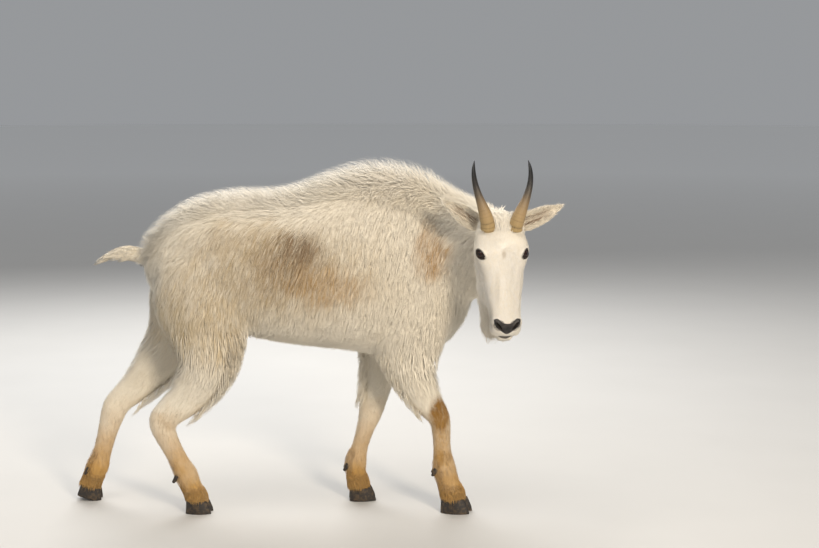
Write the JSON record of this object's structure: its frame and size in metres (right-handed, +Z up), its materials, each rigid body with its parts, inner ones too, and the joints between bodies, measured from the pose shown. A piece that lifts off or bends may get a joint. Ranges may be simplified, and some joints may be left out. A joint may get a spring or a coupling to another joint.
{
  "type": "mountain goat",
  "caption": "Life-size white mountain goat walking with its head turned, with a shaggy crest, black horns and cloven hooves; it stands on its four feet.",
  "frame": {"origin": "middle of the goat's bounding box, on the floor under its feet", "axes": "+X the way the goat walks, +Y to the goat's left, +Z up"},
  "size_m": [1.2948, 0.5208, 0.9396],
  "materials": {
    "coat": "matte white hair",
    "legs": "matte ochre hair",
    "horn": "satin horn",
    "hoof": "dull horn",
    "nose": "bare black skin, slightly moist",
    "eye": "wet gloss"
  },
  "bodies": {
    "root": {"torso": "coat", "neck": "coat", "head": "coat", "ear_left": "coat", "ear_right": "coat", "tail": "coat", "fore_right_forearm": "coat", "fore_right_shin": "legs", "hoof_fore_right_inner": "hoof", "dewclaw_fore_right_inner": "hoof", "hoof_fore_right_outer": "hoof", "dewclaw_fore_right_outer": "hoof", "fore_left_forearm": "coat", "fore_left_shin": "legs", "hoof_fore_left_inner": "hoof", "dewclaw_fore_left_inner": "hoof", "hoof_fore_left_outer": "hoof", "dewclaw_fore_left_outer": "hoof", "hind_right_thigh": "coat", "hind_right_cannon": "legs", "hoof_hind_right_inner": "hoof", "dewclaw_hind_right_inner": "hoof", "hoof_hind_right_outer": "hoof", "dewclaw_hind_right_outer": "hoof", "hind_left_thigh": "coat", "hind_left_cannon": "legs", "hoof_hind_left_inner": "hoof", "dewclaw_hind_left_inner": "hoof", "hoof_hind_left_outer": "hoof", "dewclaw_hind_left_outer": "hoof", "eye_left": "eye", "horn_left": "horn", "eye_right": "eye", "horn_right": "horn", "nose": "nose"}
  },
  "joints": []
}
